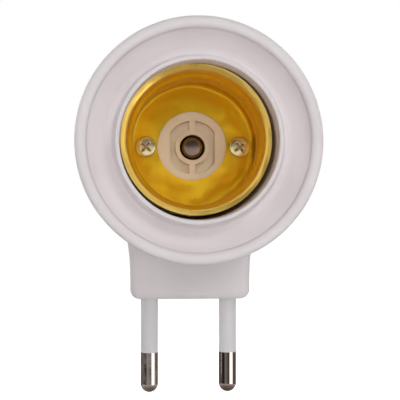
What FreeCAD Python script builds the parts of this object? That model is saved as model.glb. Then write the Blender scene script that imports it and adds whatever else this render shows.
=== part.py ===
import FreeCAD, Part
import math
import os

# Screw lamp socket on a two-pin plug, set at a right angle to it.
# Millimetres. The pins stand along Z, in the plane y = 0, and point down.
# The plug block's underside is z = 0, and the socket opens towards -Y.

# Plug block
PIN_SPACING = 18.0
PIN_R = 2.0
PIN_NECK_R = 1.5
PIN_BARE = 9.2
SLEEVE_BELOW = 12.8
PIN_FLANGE_R = 2.8
PIN_FLANGE = 1.0
SLEEVE_DRAFT = 0.02
BLOCK_HALF_WIDTH = 13.35
BLOCK_THICKNESS = 18.0
BLOCK_STRAIGHT = 5.0
BLOCK_FLARE_R = 50.0
BLOCK_CORNER_R = 2.2
BLOCK_EDGE_R = 1.9
BLOCK_INNER_CORNER_R = 0.3
BLOCK_INTO_BODY = 12.7
SOCKET_HEIGHT = 33.3

# Moulded walls
WALL = 1.8
BODY_R = 20.0
BELL_R = 23.4
BELL_LENGTH = 11.5
BELL_STRAIGHT = 2.8
BELL_SHOULDER_R = 5.0
BELL_NECK_R = 9.0
LIP_WIDTH = 2.26
LIP_STEP = 0.7
LIP_LINE_R = 0.25
BOWL_EDGE_R = 17.8
BOWL_DEPTH = 4.45
BOWL_SWELL = 0.25
BOWL_CURVE_R = 15.0
BOWL_EDGE_ROUND = 1.6
TROUGH_DEPTH = 4.8
TROUGH_FLOOR = 2.5
TROUGH_ROOT_R = 0.6
COLLAR_BORE_R = 15.0
COLLAR_WALL = 0.8
COLLAR_ROUND = 0.32
COLLAR_DRAFT = 0.8
COLLAR_ROOT_R = 1.5
TUBE_WALL = 1.3
CROSS_WALL = 2.8
TONGUE = 1.6
TONGUE_WALL = 0.9
TONGUE_GAP = 0.15
TONGUE_ROUND = 0.3

# Brass screw shell, drawn from sheet with a rolled thread
SHEET = 0.4
SHELL_HEIGHT = 21.6
SHELL_SET_BACK = 5.2
SHELL_RIM_R = 14.6
RIM_FLARE = 1.6
RIM_BEVEL = 0.24
RIM_ROUND = 0.2
SHEET_BEND_R = 1.2
THREAD_LAND = 1.8
THREAD_MAJOR_R = 13.35
THREAD_MINOR_R = 12.25
THREAD_PITCH = 3.629
THREAD_TURNS = 3.0
THREAD_RUN_OUT = 0.6
POINTS_ROUND = 48
POINTS_PER_PITCH = 12
SHELL_CORNER_R = 1.0
SHELL_HOLE_R = 7.3
SHELL_LEFT = 0.15
SHELL_UP = 0.25

# Insulating core and the sprung centre contact
CORE_THICKNESS = 7.8
CORE_GAP = 0.2
CORE_EDGE_R = 0.4
RECESS_R = 5.7
RECESS_HALF_WIDTH = 4.72
RECESS_DEPTH = 3.0
GUIDE_RING_R = 3.64
GUIDE_BORE_R = 2.71
GUIDE_RIB = 1.28
SHOULDER = 0.8
CONTACT_R = 2.2
CONTACT_FLAT_R = 1.37
CONTACT_DOME = 0.9
CONTACT_PROUD = 0.2
CONTACT_NOSE_ROUND = 0.15
CONTACT_SIDE_ROUND = 0.5
CONTACT_FLANGE_R = 3.25
CONTACT_FLANGE = 0.8
CONTACT_TAIL_R = 1.9
CONTACT_TAIL = 2.6
CONTACT_TAIL_ROUND = 0.4
CONTACT_REST_GAP = 0.1
SLIDE_GAP = 0.05
SPRING_WIRE_R = 0.25
SPRING_TURNS = 5
SPRING_SIDE_GAP = 0.3
SPRING_END_GAP = 0.05

# Strips, plates and screws
STRIP = 0.8
STRIP_WIDTH = 4.4
STRIP_FOOT = 2.6
STRIP_BEND_R = 0.5
STRIP_CORNER_R = 1.0
LIVE_PAD_R = 4.6
NEUTRAL_PAD_R = 3.4
NUT_PLATE = 1.6
NUT_PLATE_SIDE = 7.0
NUT_PLATE_CORNER_R = 0.6
SHELL_SCREW_OFFSET = 9.95
SHELL_SCREW_R = 1.25
SHELL_SCREW_HEAD_R = 2.25
SHELL_SCREW_HEAD = 1.5
SHELL_SCREW_PROUD = 1.0
STRIP_SCREW_DROP = 7.8
STRIP_SCREW_R = 1.1
STRIP_SCREW_HEAD_R = 1.9
STRIP_SCREW_HEAD = 1.3
STRIP_SCREW_LENGTH = 3.4
PIN_SCREW_R = 0.9
PIN_SCREW_HEAD_R = 1.9
PIN_SCREW_HEAD = 1.3
PIN_SCREW_LENGTH = 3.6
COVER_SCREW_R = 1.25
COVER_SCREW_HEAD_R = 2.3
COVER_SCREW_HEAD = 1.5
COVER_SCREW_SUNK = 1.9
COVER_SCREW_LENGTH = 12.0
COVER_SCREW_TOP = 14.7
COVER_SCREW_BOTTOM = 1.7
BOSS_R = 2.9
CARRIER = 4.0
CARRIER_GAP = 0.45
CARRIER_CORNER_R = 1.0
CARRIER_RIB = 2.5
HOLE_GAP = 0.2
FIT_GAP = 0.03
TIP_SPARE = 0.6
SCREW_TURNS = {"left": 32, "right": 40, "strip": 25, "pin": 10, "upper": 35, "lower": 5}

# Proportions of a pan-head screw, as shares of its head's radius or height
HEAD_TOP = 0.8
HEAD_ROUND = 0.45
HEAD_SIDE = 0.35
HEAD_SIDE_ROUND = 0.2
RECESS_WIDTH = 0.26
RECESS_REACH = 0.62
POINT = 0.5

# How far a cutting solid runs past the face that it cuts
PAST = 1.0

# Places along the socket's axis, from the plug's middle plane to the rim
cavity_y = BLOCK_THICKNESS / 2 - WALL
cross_wall_back = -cavity_y
core_back = cross_wall_back - CROSS_WALL
core_front = core_back - CORE_THICKNESS
floor_front = core_front - SHEET
shell_rim = floor_front - SHELL_HEIGHT
rim = shell_rim - SHELL_SET_BACK
flange_front = core_front + RECESS_DEPTH + SHOULDER + CONTACT_REST_GAP
flange_back = flange_front + CONTACT_FLANGE
spring_bore_r = CONTACT_FLANGE_R + SLIDE_GAP

# Places up the plug block
carrier_top = WALL + CARRIER
foot_bottom = carrier_top + PIN_FLANGE
foot_top = foot_bottom + STRIP
pin_tip = -SLEEVE_BELOW - PIN_BARE
strip_knee = SOCKET_HEIGHT - STRIP_SCREW_DROP - STRIP_SCREW_HEAD_R
upper_boss_z = SOCKET_HEIGHT + COVER_SCREW_TOP
lower_boss_z = (carrier_top + strip_knee) / 2 - COVER_SCREW_BOTTOM
screw_seat_y = BLOCK_THICKNESS / 2 - COVER_SCREW_SUNK

DOWN = FreeCAD.Vector(0, 0, -1)
BACK = FreeCAD.Vector(0, 1, 0)
FRONT = FreeCAD.Vector(0, -1, 0)
UP = FreeCAD.Vector(0, 0, 1)


def face_of(corners, place):
    """A flat face; a corner is (u, v), or (u, v, r) where it is rounded to r if its sides allow."""
    flat = [FreeCAD.Vector(c[0], c[1], 0) for c in corners]
    room = [0.495 if len(c) == 3 else 0.995 for c in corners]
    marks = []
    for i, corner in enumerate(corners):
        here = flat[i]
        if len(corner) == 2:
            marks.append([here])
            continue
        following = (i + 1) % len(flat)
        before = flat[i - 1] - here
        after = flat[following] - here
        limit = min(before.Length * room[i - 1], after.Length * room[following])
        before.normalize()
        after.normalize()
        half = before.getAngle(after) / 2
        reach = min(corner[2] / math.tan(half), limit)
        radius = reach * math.tan(half)
        middle = (before + after).normalize() * (radius / math.sin(half) - radius)
        marks.append([here + before * reach, here + middle, here + after * reach])
    edges = []
    for i, mark in enumerate(marks):
        if len(mark) == 3:
            edges.append(Part.Arc(*[place(p.x, p.y) for p in mark]).toShape())
        start = place(mark[-1].x, mark[-1].y)
        following = marks[(i + 1) % len(marks)][0]
        end = place(following.x, following.y)
        if start.distanceToPoint(end) > 1e-6:
            edges.append(Part.LineSegment(start, end).toShape())
    return Part.Face(Part.Wire(edges))


def turned_on_socket(corners):
    """A solid turned about the socket's axis, from corners (radius, y)."""
    face = face_of(corners, lambda r, y: FreeCAD.Vector(r, y, SOCKET_HEIGHT))
    return face.revolve(FreeCAD.Vector(0, 0, SOCKET_HEIGHT), BACK, 360)


def turned_upright(corners, x):
    """A solid turned about a pin's axis, from corners (radius, z)."""
    face = face_of(corners, lambda r, z: FreeCAD.Vector(x + r, 0, z))
    return face.revolve(FreeCAD.Vector(x, 0, 0), UP, 360)


def rod(radius, start, end):
    """A plain cylinder from one point to another."""
    way = end - start
    return Part.makeCylinder(radius, way.Length, start, way)


def rod_y(radius, x, z, y_from, y_to):
    """A plain cylinder along Y."""
    return rod(radius, FreeCAD.Vector(x, y_from, z), FreeCAD.Vector(x, y_to, z))


def block(low, high):
    """A box from its lowest to its highest corner."""
    size = FreeCAD.Vector(*high) - FreeCAD.Vector(*low)
    return Part.makeBox(size.x, size.y, size.z, FreeCAD.Vector(*low))


def plate(corners, y_from, y_to):
    """A flat plate facing along Y, from corners (x, z)."""
    face = face_of(corners, lambda x, z: FreeCAD.Vector(x, y_from, z))
    return face.extrude(FreeCAD.Vector(0, y_to - y_from, 0))


def screw(seat, way, shank_r, length, head_r, head, turn):
    """A pan-head screw with a cross recess: seat is under the head, way is where it points."""
    corners = [
        (0, -head),
        (head_r * HEAD_TOP, -head, head * HEAD_ROUND),
        (head_r, -head * HEAD_SIDE, head * HEAD_SIDE_ROUND),
        (head_r, 0),
        (shank_r, 0),
        (shank_r, length - shank_r * POINT),
        (shank_r * POINT, length),
        (0, length),
    ]
    face = face_of(corners, lambda r, z: FreeCAD.Vector(r, 0, z))
    body = face.revolve(FreeCAD.Vector(0, 0, 0), UP, 360)
    reach = head_r * RECESS_REACH
    half_slot = head_r * RECESS_WIDTH / 2
    for angle in (turn, turn + 90):
        arm = block((-reach, -half_slot, -head), (reach, half_slot, -head * HEAD_SIDE))
        arm.rotate(FreeCAD.Vector(0, 0, 0), UP, angle)
        body = body.cut(arm)
    body.Placement = FreeCAD.Placement(seat, FreeCAD.Rotation(UP, way))
    return body


def block_outline(inset):
    """The plug block's outline in X and Z, drawn in by inset, up to inside the round body."""
    half = BLOCK_HALF_WIDTH - inset
    flare_r = BLOCK_FLARE_R + inset
    top = SOCKET_HEIGHT - BODY_R + BLOCK_INTO_BODY
    spread = math.asin((top - BLOCK_STRAIGHT) / flare_r)
    top_half = half + flare_r * (1 - math.cos(spread))
    mid_half = half + flare_r * (1 - math.cos(spread / 2))
    mid_z = BLOCK_STRAIGHT + flare_r * math.sin(spread / 2)
    corner = max(BLOCK_CORNER_R - inset, BLOCK_INNER_CORNER_R)
    diagonal = corner * (1 - math.sqrt(0.5))

    def at(x, z):
        return FreeCAD.Vector(x, 0, z)

    edges = [
        Part.LineSegment(at(-half + corner, inset), at(half - corner, inset)),
        Part.Arc(
            at(half - corner, inset),
            at(half - diagonal, inset + diagonal),
            at(half, inset + corner),
        ),
        Part.LineSegment(at(half, inset + corner), at(half, BLOCK_STRAIGHT)),
        Part.Arc(at(half, BLOCK_STRAIGHT), at(mid_half, mid_z), at(top_half, top)),
        Part.LineSegment(at(top_half, top), at(-top_half, top)),
        Part.Arc(at(-top_half, top), at(-mid_half, mid_z), at(-half, BLOCK_STRAIGHT)),
        Part.LineSegment(at(-half, BLOCK_STRAIGHT), at(-half, inset + corner)),
        Part.Arc(
            at(-half, inset + corner),
            at(-half + diagonal, inset + diagonal),
            at(-half + corner, inset),
        ),
    ]
    return Part.Face(Part.Wire([e.toShape() for e in edges]))


def block_solid():
    """The plug block as one solid with its front and back edges rounded."""
    half = BLOCK_THICKNESS / 2
    face = block_outline(0)
    face.translate(FreeCAD.Vector(0, -half, 0))
    solid = face.extrude(FreeCAD.Vector(0, BLOCK_THICKNESS, 0))
    top = solid.BoundBox.ZMax
    rounded = []
    for edge in solid.Edges:
        box = edge.BoundBox
        if box.YLength < 1e-6 and box.ZMin < top - 1e-3:
            rounded.append(edge)
    return solid.makeFillet(BLOCK_EDGE_R, rounded)


def block_cavity(y_from, y_to):
    """The hollow of the plug block between two planes."""
    face = block_outline(WALL)
    face.translate(FreeCAD.Vector(0, y_from, 0))
    return face.extrude(FreeCAD.Vector(0, y_to - y_from, 0))


def half_space(y_from, y_to):
    """A box wide and high enough to keep one side of the joint between the two mouldings."""
    reach = BODY_R + BELL_R
    low = (-reach, y_from, -reach)
    high = (reach, y_to, SOCKET_HEIGHT + reach)
    return block(low, high)


def pin_seats():
    """The holes for the sleeves in the block's underside and the seats that trap the pins' flanges."""
    seats = []
    for x in (-PIN_SPACING / 2, PIN_SPACING / 2):
        low = FreeCAD.Vector(x, 0, -WALL)
        high = FreeCAD.Vector(x, 0, WALL * 2)
        seats.append(rod(PIN_R + HOLE_GAP / 2, low, high))
        low = FreeCAD.Vector(x, 0, carrier_top - FIT_GAP)
        high = FreeCAD.Vector(x, 0, foot_bottom + FIT_GAP)
        seats.append(rod(PIN_FLANGE_R + HOLE_GAP / 2, low, high))
    return seats


def front_housing():
    """Bell, collar, inner tube, cross wall and the front half of the plug block, in one moulding."""
    inner_r = BODY_R - WALL
    collar_r = COLLAR_BORE_R + COLLAR_WALL
    tube_r = COLLAR_BORE_R + TUBE_WALL
    lip_inner = BELL_R - LIP_WIDTH
    bowl_mid_r = (lip_inner + BOWL_EDGE_R) / 2 + BOWL_SWELL
    bowl_mid = (LIP_STEP + LIP_WIDTH / 2 + BOWL_DEPTH) / 2
    corners = [
        (BELL_R, rim, LIP_WIDTH / 2),
        (BELL_R, rim + BELL_STRAIGHT, BELL_SHOULDER_R),
        (BODY_R, rim + BELL_LENGTH, BELL_NECK_R),
        (BODY_R, 0),
        (inner_r, 0),
        (inner_r, rim + TROUGH_DEPTH + TROUGH_FLOOR, TROUGH_ROOT_R),
        (tube_r, rim + TROUGH_DEPTH + TROUGH_FLOOR, TROUGH_ROOT_R),
        (tube_r, cross_wall_back),
        (spring_bore_r, cross_wall_back),
        (spring_bore_r, core_back),
        (COLLAR_BORE_R, core_back),
        (COLLAR_BORE_R, rim, COLLAR_ROUND),
        (collar_r, rim, COLLAR_ROUND),
        (collar_r + COLLAR_DRAFT, rim + TROUGH_DEPTH, COLLAR_ROOT_R),
        (BOWL_EDGE_R, rim + BOWL_DEPTH, BOWL_EDGE_ROUND),
        (bowl_mid_r, rim + bowl_mid, BOWL_CURVE_R),
        (lip_inner, rim + LIP_WIDTH / 2 + LIP_STEP, LIP_LINE_R),
        (lip_inner, rim, LIP_WIDTH / 2),
    ]
    body = turned_on_socket(corners)
    front_block = block_solid().common(half_space(-BLOCK_THICKNESS, 0))
    body = body.fuse(front_block)
    body = body.cut(rod_y(inner_r, 0, SOCKET_HEIGHT, cross_wall_back, 0))
    body = body.cut(block_cavity(cross_wall_back, 0))
    for z in (upper_boss_z, lower_boss_z):
        body = body.fuse(rod_y(BOSS_R, 0, z, cross_wall_back - WALL / 2, 0))
    rib_top = carrier_top + FIT_GAP + WALL
    rib_low = (-BOSS_R, cross_wall_back - WALL / 2, carrier_top + FIT_GAP)
    body = body.fuse(block(rib_low, (BOSS_R, cross_wall_back + CARRIER_RIB, rib_top)))
    tip = screw_seat_y - COVER_SCREW_LENGTH - TIP_SPARE
    for z in (upper_boss_z, lower_boss_z):
        body = body.cut(rod_y(COVER_SCREW_R + FIT_GAP, 0, z, tip, PAST))
    for x in (-SHELL_SCREW_OFFSET, SHELL_SCREW_OFFSET):
        way = (x, SOCKET_HEIGHT, core_back - PAST, cross_wall_back + PAST)
        body = body.cut(rod_y(SHELL_SCREW_R + HOLE_GAP, *way))
    tip = cross_wall_back + STRIP - STRIP_SCREW_LENGTH - FIT_GAP
    z = SOCKET_HEIGHT - STRIP_SCREW_DROP
    body = body.cut(rod_y(STRIP_SCREW_R + FIT_GAP, 0, z, tip, cross_wall_back + PAST))
    return body.cut(pin_seats())


def cover_tongue():
    """The low wall round the cover's upper edge that lies just inside the front housing."""
    outer_r = BODY_R - WALL
    inner_r = outer_r - TONGUE_GAP - TONGUE_WALL
    tongue = turned_on_socket(
        [
            (outer_r + TONGUE_WALL / 2, 0),
            (outer_r - TONGUE_GAP, 0),
            (outer_r - TONGUE_GAP, -TONGUE, TONGUE_ROUND),
            (inner_r, -TONGUE, TONGUE_ROUND),
            (inner_r, TONGUE),
            (outer_r + TONGUE_WALL / 2, TONGUE),
        ]
    )
    low = (-BODY_R, -BODY_R, SOCKET_HEIGHT - BODY_R)
    high = (BODY_R, BODY_R, SOCKET_HEIGHT - BODY_R + BLOCK_INTO_BODY)
    tongue = tongue.cut(block(low, high))
    return tongue.cut(rod_y(BOSS_R + HOLE_GAP, 0, upper_boss_z, -BODY_R, 0))


def rear_cover():
    """The back half of the round body and of the plug block, with two screw bosses."""
    back = BLOCK_THICKNESS / 2
    inner_r = BODY_R - WALL
    corners = [
        (0, 0),
        (BODY_R, 0),
        (BODY_R, back, BLOCK_EDGE_R),
        (0, back),
    ]
    body = turned_on_socket(corners)
    rear_block = block_solid().common(half_space(0, BLOCK_THICKNESS))
    body = body.fuse(rear_block)
    body = body.cut(rod_y(inner_r, 0, SOCKET_HEIGHT, 0, cavity_y))
    body = body.cut(block_cavity(0, cavity_y))
    for z in (upper_boss_z, lower_boss_z):
        body = body.fuse(rod_y(BOSS_R, 0, z, 0, cavity_y + WALL / 2))
    body = body.fuse(cover_tongue())
    rib_low = (-BOSS_R, cavity_y - CARRIER_RIB, carrier_top + FIT_GAP)
    rib_high = (BOSS_R, cavity_y + WALL / 2, carrier_top + FIT_GAP + WALL)
    body = body.fuse(block(rib_low, rib_high))
    for z in (upper_boss_z, lower_boss_z):
        body = body.cut(rod_y(COVER_SCREW_R + HOLE_GAP, 0, z, -PAST, back))
        head_hole = rod_y(COVER_SCREW_HEAD_R + HOLE_GAP, 0, z, screw_seat_y, back + PAST)
        body = body.cut(head_hole)
    return body.cut(pin_seats())


def thread_radius(angle, y, start, end):
    """Inner radius of the rolled right-hand thread, which runs out to the plain wall at its ends."""
    phase = 2 * math.pi * (y - start) / THREAD_PITCH + angle
    near = min(y - start, end - y) / (THREAD_RUN_OUT * THREAD_PITCH)
    near = min(max(near, 0), 1)
    height = (THREAD_MAJOR_R - THREAD_MINOR_R) * near * near * (3 - 2 * near)
    return THREAD_MAJOR_R - height * (0.5 - 0.5 * math.cos(phase))


def thread_skin(start, end, offset):
    """One closed skin of the thread, a spline through rows of points round the wall."""
    along = round(POINTS_PER_PITCH * (end - start) / THREAD_PITCH)
    turns = [i / POINTS_ROUND for i in range(POINTS_ROUND + 1)]
    steps = [j / along for j in range(along + 1)]
    rows = []
    for step in steps:
        y = start + (end - start) * step
        ring = []
        for turn in turns[:-1]:
            angle = 2 * math.pi * turn
            r = thread_radius(angle, y, start, end) + offset
            x = r * math.cos(angle)
            ring.append(FreeCAD.Vector(x, y, SOCKET_HEIGHT + r * math.sin(angle)))
        curve = Part.BSplineCurve()
        curve.interpolate(Points=ring, Parameters=turns, PeriodicFlag=True)
        rows.append(curve)
    columns = []
    for points in zip(*[row.getPoles() for row in rows]):
        curve = Part.BSplineCurve()
        curve.interpolate(Points=list(points), Parameters=steps)
        columns.append(curve)
    skin = Part.BSplineSurface()
    skin.buildFromPolesMultsKnots(
        [column.getPoles() for column in columns],
        rows[0].getMultiplicities(),
        columns[0].getMultiplicities(),
        rows[0].getKnots(),
        columns[0].getKnots(),
        True,
        False,
        rows[0].Degree,
        columns[0].Degree,
    )
    return skin.toShape()


def end_edge(skin, y):
    """The edge of a thread skin that lies in the plane of the given y."""
    for edge in skin.Edges:
        if edge.BoundBox.YLength < 1e-6 and abs(edge.BoundBox.YMin - y) < 1e-4:
            return Part.Wire(edge)


def threaded_wall(start, end):
    """The stretch of the shell's wall that carries the thread."""
    inner = thread_skin(start, end, 0)
    outer = thread_skin(start, end, SHEET)
    faces = [inner, outer]
    for y in (start, end):
        hole = end_edge(inner, y)
        hole.reverse()
        faces.append(Part.Face([end_edge(outer, y), hole]))
    wall = Part.makeCompound(faces)
    wall.sewShape(0.001)
    return Part.makeSolid(wall.Shells[0])


def screw_shell():
    """The brass shell: flared rim, plain land, rolled thread, wall and flat floor in one sheet."""
    inner, outer = THREAD_MAJOR_R, THREAD_MAJOR_R + SHEET
    land = shell_rim + RIM_FLARE
    start = land + THREAD_LAND
    end = start + THREAD_TURNS * THREAD_PITCH
    floor_back = floor_front + SHEET
    mouth = turned_on_socket(
        [
            (SHELL_RIM_R, shell_rim),
            (SHELL_RIM_R, shell_rim + SHEET, RIM_ROUND),
            (outer, land, SHEET_BEND_R),
            (outer, start),
            (inner, start),
            (inner, land, SHEET_BEND_R),
            (SHELL_RIM_R - RIM_BEVEL, shell_rim),
        ]
    )
    bottom = turned_on_socket(
        [
            (inner, end),
            (outer, end),
            (outer, floor_back, SHELL_CORNER_R + SHEET),
            (SHELL_HOLE_R, floor_back),
            (SHELL_HOLE_R, floor_front),
            (inner, floor_front, SHELL_CORNER_R),
        ]
    )
    shell = mouth.fuse([threaded_wall(start, end), bottom], 0.001)
    shift = FreeCAD.Vector(-SHELL_LEFT, 0, SHELL_UP)
    shell.translate(shift)
    for x in (-SHELL_SCREW_OFFSET, SHELL_SCREW_OFFSET):
        way = (x, SOCKET_HEIGHT, floor_front - PAST, floor_back + PAST)
        shell = shell.cut(rod_y(SHELL_SCREW_R + HOLE_GAP, *way))
    return shell


def contact_carrier():
    """The beige insulating core behind the shell, with the contact's guide ring in its recess."""
    radius = COLLAR_BORE_R - CORE_GAP
    floor = core_front + RECESS_DEPTH
    body = turned_on_socket(
        [
            (0, core_front),
            (radius, core_front, CORE_EDGE_R),
            (radius, core_back),
            (0, core_back),
        ]
    )
    front = core_front - PAST
    low = SOCKET_HEIGHT - RECESS_R
    high = SOCKET_HEIGHT + RECESS_R
    recess = rod_y(RECESS_R, 0, SOCKET_HEIGHT, front, floor)
    recess = recess.common(block((-RECESS_HALF_WIDTH, front, low), (RECESS_HALF_WIDTH, floor, high)))
    recess = recess.cut(rod_y(GUIDE_RING_R, 0, SOCKET_HEIGHT, front, floor))
    half = GUIDE_RIB / 2
    body = body.cut(recess.cut(block((-half, front, low), (half, floor, high))))
    body = body.cut(rod_y(GUIDE_BORE_R, 0, SOCKET_HEIGHT, front, core_back))
    bore = (0, SOCKET_HEIGHT, floor + SHOULDER, core_back + PAST)
    body = body.cut(rod_y(spring_bore_r, *bore))
    for x in (-SHELL_SCREW_OFFSET, SHELL_SCREW_OFFSET):
        way = (x, SOCKET_HEIGHT, front, core_back + PAST)
        body = body.cut(rod_y(SHELL_SCREW_R + HOLE_GAP, *way))
    return body


def centre_contact():
    """The turned brass plunger, with a flat nose, a flange that stops it and a tail in the spring."""
    nose = core_front - CONTACT_PROUD
    return turned_on_socket(
        [
            (0, nose),
            (CONTACT_FLAT_R, nose, CONTACT_NOSE_ROUND),
            (CONTACT_R, nose + CONTACT_DOME, CONTACT_SIDE_ROUND),
            (CONTACT_R, flange_front),
            (CONTACT_FLANGE_R, flange_front),
            (CONTACT_FLANGE_R, flange_back),
            (CONTACT_TAIL_R, flange_back),
            (CONTACT_TAIL_R, flange_back + CONTACT_TAIL, CONTACT_TAIL_ROUND),
            (0, flange_back + CONTACT_TAIL),
        ]
    )


def contact_spring():
    """A coil spring between the contact's flange and the live strip; each half turn is a tilted half ring."""
    start = flange_back + SPRING_WIRE_R + SPRING_END_GAP
    length = cross_wall_back - start - SPRING_WIRE_R - SPRING_END_GAP
    mean_r = spring_bore_r - SPRING_SIDE_GAP - SPRING_WIRE_R
    step = length / (2 * SPRING_TURNS)
    halves = []
    for i in range(2 * SPRING_TURNS):
        side = 1 if i % 2 == 0 else -1
        begin = FreeCAD.Vector(side * mean_r, start + step * i, SOCKET_HEIGHT)
        chord = FreeCAD.Vector(-2 * side * mean_r, step, 0)
        section = Part.Face(Part.Wire(Part.Circle(begin, UP, SPRING_WIRE_R).toShape()))
        halves.append(section.revolve(begin + chord / 2, chord.cross(UP) * -side, 180))
    return halves[0].fuse(halves[1:])


def strip_leg(x):
    """The lower leg of a strip, bent to a foot that lies on a pin's flange."""
    front = cross_wall_back
    top = foot_top + STRIP_WIDTH
    corners = [
        (front, top),
        (front, foot_bottom, STRIP_BEND_R + STRIP),
        (STRIP_FOOT, foot_bottom),
        (STRIP_FOOT, foot_top),
        (front + STRIP, foot_top, STRIP_BEND_R),
        (front + STRIP, top),
    ]
    left = x - STRIP_WIDTH / 2
    face = face_of(corners, lambda y, z: FreeCAD.Vector(left, y, z))
    leg = face.extrude(FreeCAD.Vector(STRIP_WIDTH, 0, 0))
    low = FreeCAD.Vector(x, 0, foot_bottom - PAST)
    high = FreeCAD.Vector(x, 0, foot_top + PAST)
    return leg.cut(rod(PIN_SCREW_R + HOLE_GAP, low, high))


def live_strip():
    """The brass strip from the spring's seat behind the core down to the live pin."""
    front, back = cross_wall_back, cross_wall_back + STRIP
    half = STRIP_WIDTH / 2
    x = -PIN_SPACING / 2
    step = STRIP_WIDTH * (math.sqrt(2) - 1) / 2
    drop = strip_knee + x
    corners = [
        (half, SOCKET_HEIGHT),
        (half, strip_knee - step, STRIP_CORNER_R),
        (x + half, drop - step, STRIP_CORNER_R),
        (x + half, foot_top + half),
        (x - half, foot_top + half),
        (x - half, drop + step, STRIP_CORNER_R),
        (-half, strip_knee + step, STRIP_CORNER_R),
        (-half, SOCKET_HEIGHT),
    ]
    strip = plate(corners, front, back)
    strip = strip.fuse([rod_y(LIVE_PAD_R, 0, SOCKET_HEIGHT, front, back), strip_leg(x)])
    way = (0, SOCKET_HEIGHT - STRIP_SCREW_DROP, front - PAST, back + PAST)
    return strip.cut(rod_y(STRIP_SCREW_R + HOLE_GAP / 2, *way)).removeSplitter()


def neutral_strip():
    """The brass strip from the right shell screw down to the neutral pin."""
    front, back = cross_wall_back, cross_wall_back + STRIP
    half = STRIP_WIDTH / 2
    x = PIN_SPACING / 2
    pad = rod_y(NEUTRAL_PAD_R, SHELL_SCREW_OFFSET, SOCKET_HEIGHT, front, back)
    straight = block((x - half, front, foot_top + half), (x + half, back, SOCKET_HEIGHT))
    strip = straight.fuse([pad, strip_leg(x)])
    way = (SHELL_SCREW_OFFSET, SOCKET_HEIGHT, front - PAST, back + PAST)
    return strip.cut(rod_y(SHELL_SCREW_R + FIT_GAP, *way)).removeSplitter()


def nut_plate():
    """The square plate that the left shell screw is screwed into."""
    half = NUT_PLATE_SIDE / 2
    x, z = -SHELL_SCREW_OFFSET, SOCKET_HEIGHT
    corners = [
        (x - half, z - half, NUT_PLATE_CORNER_R),
        (x + half, z - half, NUT_PLATE_CORNER_R),
        (x + half, z + half, NUT_PLATE_CORNER_R),
        (x - half, z + half, NUT_PLATE_CORNER_R),
    ]
    body = plate(corners, cross_wall_back, cross_wall_back + NUT_PLATE)
    way = (x, z, cross_wall_back - PAST, cross_wall_back + NUT_PLATE + PAST)
    return body.cut(rod_y(SHELL_SCREW_R + FIT_GAP, *way))


def shell_screw(x, turn):
    """One of the two screws that clamp shell and core to the housing's cross wall."""
    seat = FreeCAD.Vector(x, floor_front, SOCKET_HEIGHT)
    length = cross_wall_back - floor_front + NUT_PLATE + SHELL_SCREW_PROUD
    sizes = (SHELL_SCREW_R, length, SHELL_SCREW_HEAD_R, SHELL_SCREW_HEAD)
    return screw(seat, BACK, *sizes, turn)


def strip_screw():
    """The short screw that holds the live strip to the cross wall."""
    z = SOCKET_HEIGHT - STRIP_SCREW_DROP
    seat = FreeCAD.Vector(0, cross_wall_back + STRIP, z)
    sizes = (STRIP_SCREW_R, STRIP_SCREW_LENGTH, STRIP_SCREW_HEAD_R, STRIP_SCREW_HEAD)
    return screw(seat, FRONT, *sizes, SCREW_TURNS["strip"])


def plug_pin(x):
    """A turned pin: round tip, bare length, neck inside its sleeve, flange and tapped end."""
    hole_r = PIN_SCREW_R + FIT_GAP
    hole_bottom = foot_top - PIN_SCREW_LENGTH - TIP_SPARE
    return turned_upright(
        [
            (0, pin_tip),
            (PIN_R, pin_tip, PIN_R),
            (PIN_R, -SLEEVE_BELOW),
            (PIN_NECK_R, -SLEEVE_BELOW),
            (PIN_NECK_R, carrier_top),
            (PIN_FLANGE_R, carrier_top),
            (PIN_FLANGE_R, foot_bottom),
            (hole_r, foot_bottom),
            (hole_r, hole_bottom),
            (0, hole_bottom),
        ],
        x,
    )


def pin_sleeve(x):
    """The moulded sleeve round the upper part of a pin, a little wider towards the block."""
    bore_r = PIN_NECK_R + FIT_GAP
    return turned_upright(
        [
            (bore_r, -SLEEVE_BELOW),
            (PIN_R, -SLEEVE_BELOW),
            (PIN_R + SLEEVE_DRAFT, WALL),
            (bore_r, WALL),
        ],
        x,
    )


def pin_screw(x):
    """The screw that clamps a strip's foot on a pin."""
    seat = FreeCAD.Vector(x, 0, foot_top)
    sizes = (PIN_SCREW_R, PIN_SCREW_LENGTH, PIN_SCREW_HEAD_R, PIN_SCREW_HEAD)
    return screw(seat, DOWN, *sizes, SCREW_TURNS["pin"])


def pin_carrier():
    """The bar inside the block that both pins stand in."""
    half_x = BLOCK_HALF_WIDTH - WALL - CARRIER_GAP
    half_y = cavity_y - CARRIER_GAP
    corners = [
        (-half_x, -half_y, CARRIER_CORNER_R),
        (half_x, -half_y, CARRIER_CORNER_R),
        (half_x, half_y, CARRIER_CORNER_R),
        (-half_x, half_y, CARRIER_CORNER_R),
    ]
    face = face_of(corners, lambda x, y: FreeCAD.Vector(x, y, WALL))
    bar = face.extrude(FreeCAD.Vector(0, 0, CARRIER))
    for x in (-PIN_SPACING / 2, PIN_SPACING / 2):
        low = FreeCAD.Vector(x, 0, WALL - PAST)
        high = FreeCAD.Vector(x, 0, carrier_top + PAST)
        bar = bar.cut(rod(PIN_NECK_R + FIT_GAP, low, high))
    return bar


def cover_screws():
    """The two screws that hold the cover on."""
    sizes = (COVER_SCREW_R, COVER_SCREW_LENGTH, COVER_SCREW_HEAD_R, COVER_SCREW_HEAD)
    screws = []
    for z, turn in ((upper_boss_z, SCREW_TURNS["upper"]), (lower_boss_z, SCREW_TURNS["lower"])):
        screws.append(screw(FreeCAD.Vector(0, screw_seat_y, z), FRONT, *sizes, turn))
    return Part.makeCompound(screws)


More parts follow.
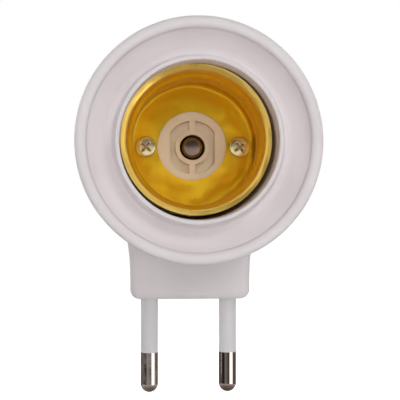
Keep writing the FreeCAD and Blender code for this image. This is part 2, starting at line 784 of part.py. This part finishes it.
pieces = {
    "front_housing": front_housing(),
    "rear_cover": rear_cover(),
    "screw_shell": screw_shell(),
    "contact_carrier": contact_carrier(),
    "centre_contact": centre_contact(),
    "contact_spring": contact_spring(),
    "live_strip": live_strip(),
    "neutral_strip": neutral_strip(),
    "nut_plate": nut_plate(),
    "shell_screw_left": shell_screw(-SHELL_SCREW_OFFSET, SCREW_TURNS["left"]),
    "shell_screw_right": shell_screw(SHELL_SCREW_OFFSET, SCREW_TURNS["right"]),
    "strip_screw": strip_screw(),
    "live_pin": plug_pin(-PIN_SPACING / 2),
    "neutral_pin": plug_pin(PIN_SPACING / 2),
    "live_pin_sleeve": pin_sleeve(-PIN_SPACING / 2),
    "neutral_pin_sleeve": pin_sleeve(PIN_SPACING / 2),
    "live_pin_screw": pin_screw(-PIN_SPACING / 2),
    "neutral_pin_screw": pin_screw(PIN_SPACING / 2),
    "pin_carrier": pin_carrier(),
    "cover_screws": cover_screws(),
}

os.makedirs("parts", exist_ok=True)
for name, shape in pieces.items():
    shape.exportStep(f"parts/{name}.step")
    valid = "valid" if shape.isValid() else "NOT VALID"
    print(name, len(shape.Solids), "solid", round(shape.Volume, 2), "mm3", valid)
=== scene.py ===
import bpy
import bmesh
import math
from mathutils import Matrix, Vector


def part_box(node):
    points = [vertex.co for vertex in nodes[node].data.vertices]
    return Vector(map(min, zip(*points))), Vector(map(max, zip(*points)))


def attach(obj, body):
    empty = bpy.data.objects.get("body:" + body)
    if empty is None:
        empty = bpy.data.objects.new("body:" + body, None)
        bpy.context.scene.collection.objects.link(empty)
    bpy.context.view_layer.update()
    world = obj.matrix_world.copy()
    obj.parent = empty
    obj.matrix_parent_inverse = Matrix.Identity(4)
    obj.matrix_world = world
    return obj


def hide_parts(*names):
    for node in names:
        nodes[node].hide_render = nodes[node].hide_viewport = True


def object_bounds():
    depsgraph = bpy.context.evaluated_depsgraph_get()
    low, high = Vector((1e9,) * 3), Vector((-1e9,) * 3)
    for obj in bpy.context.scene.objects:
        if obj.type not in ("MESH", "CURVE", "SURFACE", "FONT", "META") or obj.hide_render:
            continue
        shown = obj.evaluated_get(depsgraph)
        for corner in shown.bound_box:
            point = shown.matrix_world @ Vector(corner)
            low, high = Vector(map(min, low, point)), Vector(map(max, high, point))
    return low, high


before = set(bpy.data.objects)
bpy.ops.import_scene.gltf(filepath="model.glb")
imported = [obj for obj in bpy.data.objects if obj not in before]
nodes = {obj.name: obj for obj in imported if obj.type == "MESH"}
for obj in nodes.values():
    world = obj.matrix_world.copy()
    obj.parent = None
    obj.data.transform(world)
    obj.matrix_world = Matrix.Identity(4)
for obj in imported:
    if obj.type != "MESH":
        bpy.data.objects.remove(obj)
cad_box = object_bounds()

# Camera
# The adapter is seen from the front, a little from the left and from just below the socket's axis.
# It stands about 190 mm from the bell's rim, where a long lens takes in the bell and both pins.
bell_low, bell_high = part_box("front_housing")
axis_height = bell_high.z - (bell_high.x - bell_low.x) / 2
rim_middle = Vector((0, bell_low.y, axis_height))

camera_distance = 0.190
camera_below_axis = 0.0112
camera_turn = math.radians(-3.4)
lens_to_sensor = 2.55
camera_data = bpy.data.cameras.new("camera")
camera_data.sensor_width = 36
camera_data.lens = camera_data.sensor_width * lens_to_sensor
camera_data.clip_start = 0.01
camera_data.clip_end = 20
camera = bpy.data.objects.new("camera", camera_data)
bpy.context.scene.collection.objects.link(camera)
target = rim_middle - Vector((0, 0, camera_below_axis))
back = Vector((math.sin(camera_turn), -math.cos(camera_turn), 0))
camera.location = target + back * camera_distance
camera.rotation_euler = (math.radians(90), 0, camera_turn)
bpy.context.scene.camera = camera


# Housing and cover
# The bell, barrel and plug block are one injection moulding in a white plastic with a faint pink
# cast. The cover closes it from behind, in the same plastic, and a fine dark line shows the joint.
class Channel:
    """A socket of a shader, whose value can be added and multiplied like a number."""

    def __init__(self, finish, socket):
        self.finish = finish
        self.socket = socket

    def maths(self, operation, first, second):
        return self.finish.node("ShaderNodeMath", {"operation": operation}, (first, second))

    def __add__(self, other):
        return self.maths("ADD", self, other)

    def __radd__(self, other):
        return self.maths("ADD", other, self)

    def __mul__(self, other):
        return self.maths("MULTIPLY", self, other)

    def __rmul__(self, other):
        return self.maths("MULTIPLY", other, self)


class Finish:
    """A material that is built up from nodes around its Principled shader."""

    def __init__(self, name):
        self.material = bpy.data.materials.new(name)
        self.material.use_nodes = True
        self.tree = self.material.node_tree
        self.shader = self.tree.nodes["Principled BSDF"]
        self.place = self.node("ShaderNodeTexCoord", output="Object")

    def node(self, kind, settings=None, inputs=(), output=0):
        """Adds a node: its settings first, then the value or link of each of its sockets."""
        made = self.tree.nodes.new(kind)
        for name, value in (settings or {}).items():
            if name != "stops":
                setattr(made, name, value)
                continue
            stops = made.color_ramp.elements
            while len(stops) < len(value):
                stops.new(1)
            for stop, (position, level) in zip(stops, value):
                stop.position = position
                stop.color = (level, level, level, 1)
        pairs = inputs.items() if isinstance(inputs, dict) else enumerate(inputs)
        for key, value in pairs:
            if isinstance(value, Channel):
                self.tree.links.new(value.socket, made.inputs[key])
            else:
                made.inputs[key].default_value = value
        return Channel(self, made.outputs[output])

    def noise(self, size, detail=3, stretch=(1, 1, 1)):
        """Cloudy noise, about size metres from one patch to the next."""
        scale = [way / size for way in stretch]
        place = self.node("ShaderNodeMapping", {}, {"Vector": self.place, "Scale": scale})
        return self.node("ShaderNodeTexNoise", {}, {"Vector": place, "Scale": 1, "Detail": detail})

    def ramp(self, value, *stops):
        """A value through a ramp of (position, level) stops."""
        return self.node("ShaderNodeValToRGB", {"stops": stops}, (value,))

    def mix(self, share, low, high):
        """A colour between low and high."""
        ends = [end if isinstance(end, Channel) else (*end, 1) for end in (low, high)]
        inputs = {0: share, 6: ends[0], 7: ends[1]}
        return self.node("ShaderNodeMix", {"data_type": "RGBA"}, inputs, 2)

    def axis(self, name):
        """The place along the object's own X, Y or Z."""
        return self.node("ShaderNodeSeparateXYZ", {}, (self.place,), "XYZ".index(name))

    def between(self, value, start, end, low=0, high=1):
        """A level that goes from low to high while a value goes from start to end."""
        ends = {"Value": value, "From Min": start, "From Max": end, "To Min": low, "To Max": high}
        return self.node("ShaderNodeMapRange", {}, ends)

    def give(self, name, value):
        """Sets or links one of the shader's own sockets."""
        if isinstance(value, Channel):
            self.tree.links.new(value.socket, self.shader.inputs[name])
        else:
            self.shader.inputs[name].default_value = value

    def bump(self, height, strength, distance):
        """Bends the normal by a height from 0 to 1."""
        values = {"Height": height, "Strength": strength, "Distance": distance}
        self.give("Normal", self.node("ShaderNodeBump", {}, values))

    def dress(self, *names):
        """Gives CAD nodes this material."""
        for name in names:
            nodes[name].data.materials[0] = self.material


def moulded(name, light, shade, roughness, grain_size):
    """Injection moulded plastic: faint clouding, a fine grain and a soft satin."""
    finish = Finish(name)
    clouds = finish.noise(0.009, detail=4)
    finish.colour = finish.mix(finish.ramp(clouds, (0.35, 0), (0.65, 1)), shade, light)
    finish.give("Base Color", finish.colour)
    grain = finish.noise(grain_size, detail=2)
    finish.give("Roughness", roughness + 0.12 * clouds + 0.06 * grain)
    finish.bump(grain, 0.08, 0.00006)
    finish.give("Specular IOR Level", 0.35)
    finish.give("Subsurface Weight", 0.25)
    finish.give("Subsurface Radius", (0.0030, 0.0026, 0.0025))
    finish.give("Subsurface Scale", 1.0)
    return finish


white_plastic = moulded("white_plastic", (0.82, 0.765, 0.775), (0.79, 0.73, 0.74), 0.45, 0.0004)
joint_edges = (0.00007, 0.00020)
joint_colour = (0.36, 0.33, 0.33)
off_joint = white_plastic.axis("Y")
off_joint = white_plastic.node("ShaderNodeMath", {"operation": "ABSOLUTE"}, (off_joint,))
off_joint = white_plastic.between(off_joint, *joint_edges)
white_plastic.colour = white_plastic.mix(off_joint, joint_colour, white_plastic.colour)
white_plastic.give("Base Color", white_plastic.colour)
white_plastic.dress("front_housing", "rear_cover")

# Insulating core
# A disc of beige, heat-proof plastic behind the shell, pressed dry and slightly grainy. Its recess
# holds the guide ring of the centre contact.
beige_plastic = moulded("beige_plastic", (0.94, 0.82, 0.64), (0.89, 0.76, 0.57), 0.5, 0.0003)
beige_plastic.dress("contact_carrier", "pin_carrier")


# Centre contact
# A turned, plated plunger in the core's bore. Its nose is slightly crowned with a broad rounded
# edge, and its flange keeps it in. The coil spring behind it is wound from steel wire.
def plated(name, light, deep, roughness, patch=0.003):
    """Plated or bare metal with uneven polish and fine scratches."""
    finish = Finish(name)
    patches = finish.noise(patch, detail=4)
    finish.colour = finish.mix(patches, deep, light)
    finish.give("Base Color", finish.colour)
    finish.give("Roughness", roughness + 0.1 * patches)
    finish.give("Metallic", 1.0)
    finish.bump(finish.noise(patch * 0.3, detail=3), 0.05, 0.00004)
    return finish


def finished(name, mesh, finish, smooth_below=35):
    """Turns a bmesh of a closed solid into an object with smooth shading and sharp edges."""
    bmesh.ops.remove_doubles(mesh, verts=mesh.verts, dist=1e-6)
    bmesh.ops.recalc_face_normals(mesh, faces=mesh.faces)
    data = bpy.data.meshes.new(name)
    mesh.to_mesh(data)
    mesh.free()
    data.shade_smooth()
    data.set_sharp_from_angle(angle=math.radians(smooth_below))
    data.materials.append(finish.material)
    piece = bpy.data.objects.new(name, data)
    bpy.context.scene.collection.objects.link(piece)
    return piece


def turned(profile, axis_x, axis_z, steps):
    """A bmesh turned round an axis along Y, from (radius, y) points."""
    mesh = bmesh.new()
    line = [mesh.verts.new((axis_x + r, y, axis_z)) for r, y in profile]
    edges = [mesh.edges.new(pair) for pair in zip(line, line[1:])]
    middle = (axis_x, 0, axis_z)
    bmesh.ops.spin(mesh, geom=line + edges, cent=middle, axis=(0, 1, 0), angle=math.tau,
                   steps=steps, use_merge=True)
    bmesh.ops.remove_doubles(mesh, verts=mesh.verts, dist=1e-6)
    return mesh


contact_low, contact_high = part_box("centre_contact")
contact_nose = contact_low.y
contact_radius = 0.0022
contact_flat = 0.00150
contact_edge = 0.00075
contact_crown = 0.00014
flange_thickness = 0.0008
flange_radius = (contact_high.x - contact_low.x) / 2
tail_length = 0.0026
tail_radius = 0.0019
tail_chamfer = 0.0004
flange_back = contact_high.y - tail_length
flange_front = flange_back - flange_thickness
rounding = [math.radians(degrees) for degrees in range(0, 91, 9)]
nose = [
    (contact_flat + (contact_radius - contact_flat) * math.sin(turn),
     contact_nose + contact_crown + (contact_edge - contact_crown) * (1 - math.cos(turn)))
    for turn in rounding
]
crown = [
    (contact_flat * share, contact_nose + contact_crown * share ** 2)
    for share in (0, 0.2, 0.4, 0.6, 0.8)
]
contact_profile = crown + nose + [
    (contact_radius, flange_front),
    (flange_radius, flange_front),
    (flange_radius, flange_back),
    (tail_radius, flange_back),
    (tail_radius, contact_high.y - tail_chamfer),
    (tail_radius - tail_chamfer, contact_high.y),
    (0, contact_high.y),
]
contact_metal = plated("contact_metal", (0.44, 0.34, 0.32), (0.21, 0.14, 0.11), 0.16, patch=0.0035)
# Painted reflection: the nose's rounded edge is mixed to a brass colour, standing in for the brass
# shell mirrored in it.
reflection_start, reflection_end = 0.00012, 0.0004
# Painted shade: the plunger's sides, from 1 mm behind the nose, turn near-black where the bore
# shades them.
side_shade_start, side_shade_end = 0.0010, 0.0022
along = contact_metal.axis("Y")
edge = contact_metal.between(along, contact_nose + reflection_start, contact_nose + reflection_end)
painted_side_shade = contact_metal.between(along, contact_nose + side_shade_start, contact_nose + side_shade_end)
contact_metal.colour = contact_metal.mix(edge, contact_metal.colour, (0.50, 0.36, 0.20))
contact_metal.colour = contact_metal.mix(painted_side_shade, contact_metal.colour, (0.02, 0.014, 0.01))
contact_metal.give("Base Color", contact_metal.colour)
contact_mesh = turned(contact_profile, 0, (contact_low.z + contact_high.z) / 2, 64)
contact = finished("contact_plunger", contact_mesh, contact_metal)
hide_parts("centre_contact")
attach(contact, "contact")
spring_steel = plated("spring_steel", (0.62, 0.62, 0.61), (0.5, 0.5, 0.5), 0.25)
spring_steel.dress("contact_spring")


# Brass shell
# One cup of thin brass sheet with a rolled lamp thread, a floor that bulges slightly forward and a
# rim that opens like a bell's mouth. A fine seam crosses the rim at the bottom, and the rim sits a
# little towards the upper left in the collar.
def brass(name, light, deep, roughness):
    """Drawn brass: slightly uneven polish, drawing marks round the wall and soft dents."""
    finish = Finish(name)
    tarnish = finish.noise(0.005, detail=5)
    finish.colour = finish.mix(tarnish, deep, light)
    finish.give("Base Color", finish.colour)
    marks = finish.noise(0.0011, detail=3, stretch=(1, 4, 1))
    finish.give("Roughness", roughness + 0.12 * tarnish + 0.05 * marks)
    finish.give("Metallic", 1.0)
    finish.give("Coat Weight", 0.05)
    finish.give("Coat Roughness", 0.1)
    finish.bump(finish.noise(0.0075, detail=1.5) + 0.03 * marks, 0.5, 0.0020)
    return finish


shell_low, shell_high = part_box("screw_shell")
shell_x = (shell_low.x + shell_high.x) / 2
shell_z = (shell_low.z + shell_high.z) / 2
rim_y = shell_low.y
sheet = 0.0004
floor_gap = 0.0001
floor_y = shell_high.y - sheet - floor_gap
wall_radius = 0.01335
hole_radius = 0.0073
floor_bulge = 0.0005
corner = 0.0009
mouth_depth = 0.00095
mouth_end = rim_y + mouth_depth
mouth_arcs = ((0.0006, 0, 50), (0.00238, 50, 76))
thread_pitch = 0.003629
thread_depth = 0.00085
thread_crest = rim_y + 0.0055
thread_start = rim_y + 0.0033
thread_end = rim_y + 0.0143
thread_fade = 0.0014
seam_angle = math.radians(184.9)
seam_half = math.radians(0.7)
seam_depth = 0.00012
rim_shift_x = 0.00022
rim_shift_z = 0.00014
shift_fade = 0.004
rim_highlight_depth = 0.0018

shell_profile = [(wall_radius, mouth_end)]
for arc_radius, first, last in mouth_arcs:
    start_r, start_y = shell_profile[0]
    for step in range(1, 7):
        turn = math.radians(first + (last - first) * step / 6)
        across = arc_radius * (math.cos(math.radians(first)) - math.cos(turn))
        along = arc_radius * (math.sin(turn) - math.sin(math.radians(first)))
        shell_profile.insert(0, (start_r + across, start_y - along))
wall_rings = 72
wall_length = floor_y - corner - mouth_end
for step in range(1, wall_rings + 1):
    shell_profile.append((wall_radius, mouth_end + wall_length * step / wall_rings))
for degrees in range(15, 91, 15):
    turn = math.radians(degrees)
    across, along = corner * (1 - math.cos(turn)), corner * (1 - math.sin(turn))
    shell_profile.append((wall_radius - across, floor_y - along))
floor_radius = wall_radius - corner
floor_rings = 8
for step in range(1, floor_rings + 1):
    radius = floor_radius + (hole_radius - floor_radius) * step / floor_rings
    rise = floor_bulge * (1 - (radius / floor_radius) ** 2)
    shell_profile.append((radius, floor_y - rise))


def eased(value, low, high):
    """0 below low, 1 above high and smooth between them."""
    share = min(max((value - low) / (high - low), 0), 1)
    return share * share * (3 - 2 * share)


shell_mesh = turned(shell_profile, shell_x, shell_z, 288)
for vertex in shell_mesh.verts:
    x, y, z = vertex.co.x - shell_x, vertex.co.y, vertex.co.z - shell_z
    radius = math.hypot(x, z)
    turn = math.atan2(x, z) % math.tau
    present = eased(y, thread_start, thread_start + thread_fade)
    present *= 1 - eased(y, thread_end - thread_fade, thread_end)
    wave = 0.5 + 0.5 * math.cos(math.tau * (y - thread_crest) / thread_pitch - turn)
    inward = thread_depth * wave * present
    if y < thread_start and abs(turn - seam_angle) < seam_half:
        inward -= seam_depth
    lean = 1 - eased(y, mouth_end, mouth_end + shift_fade)
    vertex.co.x -= x / radius * inward + rim_shift_x * lean
    vertex.co.z -= z / radius * inward - rim_shift_z * lean
bmesh.ops.recalc_face_normals(shell_mesh, faces=shell_mesh.faces)
bmesh.ops.solidify(shell_mesh, geom=shell_mesh.faces[:], thickness=sheet)
shell_brass = brass("shell_brass", (1.0, 0.67, 0.025), (0.95, 0.57, 0.012), 0.22)
shell_brass.give("Metallic", 0.74)
# Painted highlight: the base colour turns paler and creamier over the last 1.8 mm towards the rim,
# so that the rim's reflections come out cream.
painted_rim_highlight = shell_brass.between(shell_brass.axis("Y"), rim_y, rim_y + rim_highlight_depth, 0.65, 0)
shell_brass.colour = shell_brass.mix(painted_rim_highlight, shell_brass.colour, (0.95, 0.69, 0.24))
shell_brass.give("Base Color", shell_brass.colour)
shell = finished("lamp_shell", shell_mesh, shell_brass, smooth_below=50)
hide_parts("screw_shell")
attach(shell, "holder")

# Shell screws
# Two small plated screws with nearly flat heads and a cross recess hold the shell's floor to the
# core and to the contact strip. The recess is punched, so its arms narrow towards their floor.
screw_plating = plated("screw_plating", (1.0, 0.93, 0.62), (0.94, 0.84, 0.48), 0.12, patch=0.003)
screw_plating.give("Metallic", 0.88)
head_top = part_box("shell_screw_left")[0].y
# Painted shade: the plating turns dark brown from 0.3 to 0.7 mm below the head's top, in the cross
# recess and on the head's rounded sides.
recess_shade_start, recess_shade_end = 0.0003, 0.0007
painted_recess_shade = screw_plating.axis("Y")
painted_recess_shade = screw_plating.between(painted_recess_shade, head_top + recess_shade_start, head_top + recess_shade_end)
screw_plating.colour = screw_plating.mix(painted_recess_shade, screw_plating.colour, (0.55, 0.43, 0.22))
screw_plating.give("Base Color", screw_plating.colour)
head_height = 0.0015
head_profile = [
    (0, -head_height), (0.0005, -0.001495), (0.0010, -0.00148), (0.0015, -0.001450),
    (0.0019, -0.00140), (0.0021, -0.00133), (0.0022, -0.00123), (0.00225, -0.00108), (0.00225, 0),
]
shank_radius = 0.00125
point_length = 0.0006
recess_reach = 0.00170
recess_width = 0.00034
recess_floor = 0.45
recess_depth = 0.0010
shell_screws = (
    ("shell_screw_left", "left_shell_screw", 40),
    ("shell_screw_right", "right_shell_screw", 52),
)
for node, name, degrees in shell_screws:
    low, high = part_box(node)
    middle_x, middle_z = (low.x + high.x) / 2, (low.z + high.z) / 2
    seat = low.y + head_height
    profile = [(radius, seat + rise) for radius, rise in head_profile]
    profile += [(shank_radius, seat), (shank_radius, high.y - point_length), (0, high.y)]
    screw_mesh = turned(profile, middle_x, middle_z, 72)
    screw = finished(name, screw_mesh, screw_plating, smooth_below=30)
    cutter_mesh = bmesh.new()
    for arm in (0, 90):
        made = bmesh.ops.create_cube(cutter_mesh, size=2)["verts"]
        bmesh.ops.scale(cutter_mesh, vec=(recess_reach, recess_depth, recess_width), verts=made)
        bottom = [v for v in made if v.co.y > 0]
        bmesh.ops.scale(cutter_mesh, vec=(recess_floor, 1, recess_floor), verts=bottom)
        turn = Matrix.Rotation(math.radians(arm + degrees), 3, "Y")
        bmesh.ops.rotate(cutter_mesh, cent=(0, 0, 0), matrix=turn, verts=made)
        bmesh.ops.translate(cutter_mesh, vec=(middle_x, low.y, middle_z), verts=made)
    cutter = finished(name + "_recess", cutter_mesh, screw_plating)
    punch = screw.modifiers.new("recess", "BOOLEAN")
    punch.object = cutter
    punch.operation = "DIFFERENCE"
    punch.solver = "EXACT"
    punch.use_self = True
    depsgraph = bpy.context.evaluated_depsgraph_get()
    punched = bpy.data.meshes.new_from_object(screw.evaluated_get(depsgraph))
    screw.modifiers.clear()
    screw.data = punched
    bpy.data.objects.remove(cutter)
    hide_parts(node)
    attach(screw, "holder")

# Strips and clamps
# The strips that lead to the pins are stamped from brass. The plate and the screws that clamp
# them are plated steel, as are the cover's two screws, which alone show, at the back.
strip_brass = brass("strip_brass", (0.85, 0.62, 0.26), (0.72, 0.5, 0.16), 0.3)
strip_brass.dress("live_strip", "neutral_strip")
plated_steel = plated("plated_steel", (0.72, 0.72, 0.70), (0.60, 0.60, 0.59), 0.22)
plated_steel.dress("live_pin_screw", "neutral_pin_screw", "strip_screw", "nut_plate")
plated_steel.dress("cover_screws")

# Pins
# Two round pins in nickel-plated brass with domed tips, the left one paler and rougher than the
# right. The plastic sleeves are moulded round their upper half and have the same width.
pin_nickel = plated("pin_nickel", (0.80, 0.68, 0.63), (0.62, 0.51, 0.47), 0.05, patch=0.0018)
pin_reach = 0.009
paler_to_left = pin_nickel.between(pin_nickel.axis("X"), -pin_reach, pin_reach, 1, 0)
pin_nickel.give("Base Color", pin_nickel.mix(paler_to_left, pin_nickel.colour, (0.88, 0.77, 0.71)))
streaks = pin_nickel.noise(0.0009, detail=4, stretch=(1, 1, 0.35))
blotches = pin_nickel.ramp(streaks, (0.35, 0), (0.7, 1))
pin_nickel.give("Roughness", 0.05 + 0.12 * paler_to_left + 0.14 * (blotches * paler_to_left))
pin_nickel.dress("live_pin", "neutral_pin")
sleeve_plastic = moulded("sleeve_plastic", (0.86, 0.82, 0.83), (0.83, 0.79, 0.80), 0.45, 0.0003)
sleeve_plastic.dress("live_pin_sleeve", "neutral_pin_sleeve")

# Floor
# A pale table, far enough below the pins that the adapter hovers and its shadow stays soft.
# To the camera it grows out to the white of the background, and it stays plain near the adapter.
hover_height = 0.04
floor_z = cad_box[0].z - hover_height
floor_half = 6


def staging(name):
    """A material with an empty node tree, for the floor or a card."""
    material = bpy.data.materials.new(name)
    material.use_nodes = True
    material.node_tree.nodes.clear()
    return material


def add(tree, kind, settings=None, inputs=()):
    """Adds a node to a plain tree, with its settings and the values or links of its sockets."""
    made = tree.nodes.new(kind)
    for name, value in (settings or {}).items():
        setattr(made, name, value)
    pairs = inputs.items() if isinstance(inputs, dict) else enumerate(inputs)
    for key, value in pairs:
        if isinstance(value, bpy.types.NodeSocket):
            tree.links.new(value, made.inputs[key])
        else:
            made.inputs[key].default_value = value
    return made


def smoothed(tree, value, start, end, low=0, high=1):
    """A level that goes softly from low to high while a value goes from start to end."""
    ends = {"Value": value, "From Min": start, "From Max": end, "To Min": low, "To Max": high}
    kind = {"interpolation_type": "SMOOTHSTEP"}
    return add(tree, "ShaderNodeMapRange", kind, ends).outputs["Result"]


def staged(name, mesh, material):
    """Turns a bmesh into a piece of the studio."""
    data = bpy.data.meshes.new(name)
    mesh.to_mesh(data)
    mesh.free()
    data.materials.append(material)
    piece = bpy.data.objects.new(name, data)
    bpy.context.scene.collection.objects.link(piece)
    return piece


floor_look = staging("floor_pale")
tree = floor_look.node_tree
place = add(tree, "ShaderNodeTexCoord").outputs["Object"]
reach = add(tree, "ShaderNodeVectorMath", {"operation": "LENGTH"}, {0: place}).outputs["Value"]
far = smoothed(tree, reach, 0.06, 0.18, 0.25, 1)
camera_ray = add(tree, "ShaderNodeLightPath").outputs["Is Camera Ray"]
seen = add(tree, "ShaderNodeMath", {"operation": "MULTIPLY"}, (far, camera_ray))
glow = add(tree, "ShaderNodeEmission", {}, {"Color": (1, 1, 1, 1), "Strength": seen.outputs[0]})
matt = add(tree, "ShaderNodeBsdfDiffuse", {}, {"Color": (0.86, 0.86, 0.86, 1)})
both = add(tree, "ShaderNodeAddShader", {}, (glow.outputs[0], matt.outputs[0]))
add(tree, "ShaderNodeOutputMaterial", {}, {"Surface": both.outputs[0]})
floor_mesh = bmesh.new()
bmesh.ops.create_grid(floor_mesh, x_segments=1, y_segments=1, size=floor_half)
bmesh.ops.translate(floor_mesh, vec=(0, 0, floor_z), verts=floor_mesh.verts)
staged("floor", floor_mesh, floor_look)

# Reflector
# A round screen and a floor card in greys that only reflections show. They give the pins their
# bright stripe and dark edges, and the brass floor its fall from light below to dark above.
screen_radius = 0.14
screen_top = 0.30
screen_glow = 2.6
screen_lift = 0.001
card_radius = 0.139
card_lift = 0.0005
card_colour = (0.055, 0.05, 0.047, 1)
round_steps = 96


def banded(tree, turn, bands):
    """Grey bands round the screen, from (degrees from the front, level) stops."""
    ramp = add(tree, "ShaderNodeValToRGB", {}, (turn,))
    stops = ramp.color_ramp.elements
    while len(stops) < len(bands):
        stops.new(1)
    for stop, (degrees, level) in zip(stops, bands):
        stop.position = 0.25 + degrees / 360
        stop.color = (level, level * 0.97, level * 0.94, 1)
    return ramp.outputs["Color"]


def blended(tree, share, low, high):
    """A colour between low and high."""
    return add(tree, "ShaderNodeMix", {"data_type": "RGBA"}, {0: share, 6: low, 7: high}).outputs[2]


screen_look = staging("reflector")
tree = screen_look.node_tree
place = add(tree, "ShaderNodeTexCoord").outputs["Object"]
turn = add(tree, "ShaderNodeTexGradient", {"gradient_type": "RADIAL"}, (place,)).outputs["Fac"]
low = banded(tree, turn, (
    (-90, 0.05), (-70, 0.01), (-41, 0.005), (-34, 0.09), (-6, 0.05),
    (25, 0.02), (32, 0.80), (66, 0.80), (71, 0.04), (140, 0.04),
))
middle = banded(tree, turn, (
    (-90, 0.2), (-62, 0.32), (-32, 0.30), (-12, 0.30),
    (12, 0.28), (32, 0.46), (75, 0.34), (140, 0.25),
))
high = banded(tree, turn, (
    (-90, 0.44), (-42, 0.40), (-28, 0.02), (28, 0.005), (42, 0.34), (90, 0.44),
))
height = add(tree, "ShaderNodeSeparateXYZ", {}, (place,)).outputs["Z"]
level = blended(tree, smoothed(tree, height, -0.020, -0.002), low, middle)
level = blended(tree, smoothed(tree, height, 0.024, 0.055), level, high)
glow = add(tree, "ShaderNodeEmission", {}, {"Color": level, "Strength": screen_glow})
add(tree, "ShaderNodeOutputMaterial", {}, {"Surface": glow.outputs[0]})
card_look = staging("floor_card")
tree = card_look.node_tree
place = add(tree, "ShaderNodeTexCoord").outputs["Object"]
reach = add(tree, "ShaderNodeVectorMath", {"operation": "LENGTH"}, {0: place}).outputs["Value"]
ring = {"Value": reach, "From Min": 0.05, "From Max": 0.150, "To Min": 1, "To Max": 9}
edge = add(tree, "ShaderNodeMapRange", {}, ring).outputs["Result"]
glow = add(tree, "ShaderNodeEmission", {}, {"Color": card_colour, "Strength": edge})
add(tree, "ShaderNodeOutputMaterial", {}, {"Surface": glow.outputs[0]})
card_mesh = bmesh.new()
bmesh.ops.create_circle(card_mesh, cap_ends=True, segments=round_steps, radius=card_radius)
bmesh.ops.translate(card_mesh, vec=(0, 0, floor_z + card_lift), verts=card_mesh.verts)
card = staged("floor_card", card_mesh, card_look)
screen_mesh = bmesh.new()
bmesh.ops.create_circle(screen_mesh, segments=round_steps, radius=screen_radius)
bmesh.ops.translate(screen_mesh, vec=(0, 0, floor_z + screen_lift), verts=screen_mesh.verts)
raised = bmesh.ops.extrude_edge_only(screen_mesh, edges=screen_mesh.edges[:])["geom"]
raised = [part for part in raised if isinstance(part, bmesh.types.BMVert)]
bmesh.ops.translate(screen_mesh, vec=(0, 0, screen_top), verts=raised)
screen = staged("reflector", screen_mesh, screen_look)
for ray in ("camera", "diffuse", "transmission", "volume_scatter", "shadow"):
    setattr(screen, "visible_" + ray, False)
    setattr(card, "visible_" + ray, False)

# Light
# A pale room, white behind the adapter. Soft lamps stand at the upper right, upper left and right,
# one in front reaches the core and leaves no mirror image, and two behind light back and sides.
world = bpy.data.worlds.new("studio")
bpy.context.scene.world = world
world.use_nodes = True
tree = world.node_tree
tree.nodes.clear()
rays = add(tree, "ShaderNodeLightPath")
sky = add(tree, "ShaderNodeBackground", {}, {"Color": (1, 0.985, 0.985, 1), "Strength": 0.10})
white_back = add(tree, "ShaderNodeBackground", {}, {"Color": (1, 1, 1, 1), "Strength": 1.0})
shown = rays.outputs["Is Camera Ray"]
for ray in ("Is Transmission Ray", "Is Glossy Ray"):
    either = (shown, rays.outputs[ray])
    shown = add(tree, "ShaderNodeMath", {"operation": "MAXIMUM"}, either).outputs[0]
pick = add(tree, "ShaderNodeMixShader", {}, (shown, sky.outputs[0], white_back.outputs[0]))
add(tree, "ShaderNodeOutputWorld", {}, {"Surface": pick.outputs[0]})

lamps = {
    "upper_light": ((0.20, -0.62, 0.38), 0.3, 1.28),
    "left_light": ((-0.35, -0.45, 0.45), 0.3, 0.42),
    "right_light": ((0.50, -0.55, 0.08), 0.3, 0.25),
    "front_light": ((-0.03, -0.80, 0.05), 0.3, 1.75),
    "right_back_light": ((0.50, 0.55, 0.35), 0.5, 2.7),
    "left_back_light": ((-0.50, 0.50, 0.25), 0.5, 2.5),
}
for name, (stand, size, watts) in lamps.items():
    data = bpy.data.lights.new(name, "AREA")
    data.size = size
    data.energy = watts
    lamp = bpy.data.objects.new(name, data)
    lamp.location = stand
    lamp.rotation_euler = (Vector(stand) - rim_middle).to_track_quat("Z", "Y").to_euler()
    lamp.visible_camera = False
    lamp.visible_glossy = name != "front_light"
    bpy.context.scene.collection.objects.link(lamp)

bpy.context.scene.view_settings.view_transform = "Standard"
